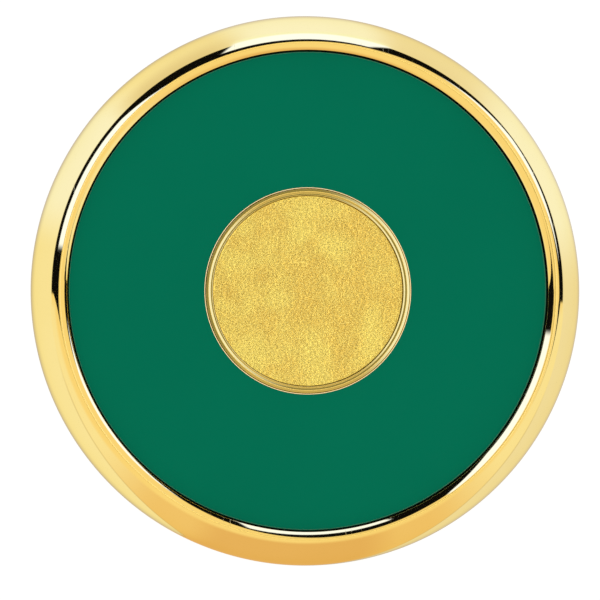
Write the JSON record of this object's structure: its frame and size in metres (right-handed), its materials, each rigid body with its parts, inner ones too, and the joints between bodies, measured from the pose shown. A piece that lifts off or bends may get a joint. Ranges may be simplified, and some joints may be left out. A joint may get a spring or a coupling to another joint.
{
  "type": "magnetic golf ball marker",
  "caption": "Round gold-plated golf ball marker with a green enamel face and a removable magnetic centre coin.",
  "frame": {"origin": "centre of the round foot, on the face the marker rests on", "axes": "+Z along the axis of the disc, out of the enamelled face; the disc is round, so +X and +Y lie in the resting face and either may be called the front"},
  "size_m": [0.0508, 0.0508, 0.0058],
  "materials": {
    "polished_gold": "polished gold plating on brass",
    "raw_brass": "rolled sheet brass",
    "green_enamel": "smooth green epoxy enamel",
    "adhesive": "cured epoxy film",
    "nickel_plate": "nickel plated neodymium magnet",
    "black_plastic": "moulded ABS",
    "brushed_gold": "turned brass, gold plated",
    "polished_gold_steel": "polished gold plating on steel",
    "blasted_gold": "bead blasted gold plating"
  },
  "bodies": {
    "holder": {"bezel": "polished_gold", "face_plate": "raw_brass", "enamel_face": "green_enamel", "face_adhesive": "adhesive", "marker_cup": "polished_gold", "magnet": "nickel_plate", "magnet_adhesive": "adhesive", "core_spacer": "black_plastic", "back_plate": "brushed_gold", "back_adhesive": "adhesive"},
    "marker": {"marker_body": "polished_gold_steel", "insert_adhesive": "adhesive", "marker_insert": "blasted_gold"}
  },
  "joints": [
    {"name": "marker_lift", "type": "slide", "parent": "holder", "child": "marker", "axis": [0, 0, 1], "range_m": [0, 0.02]}
  ]
}
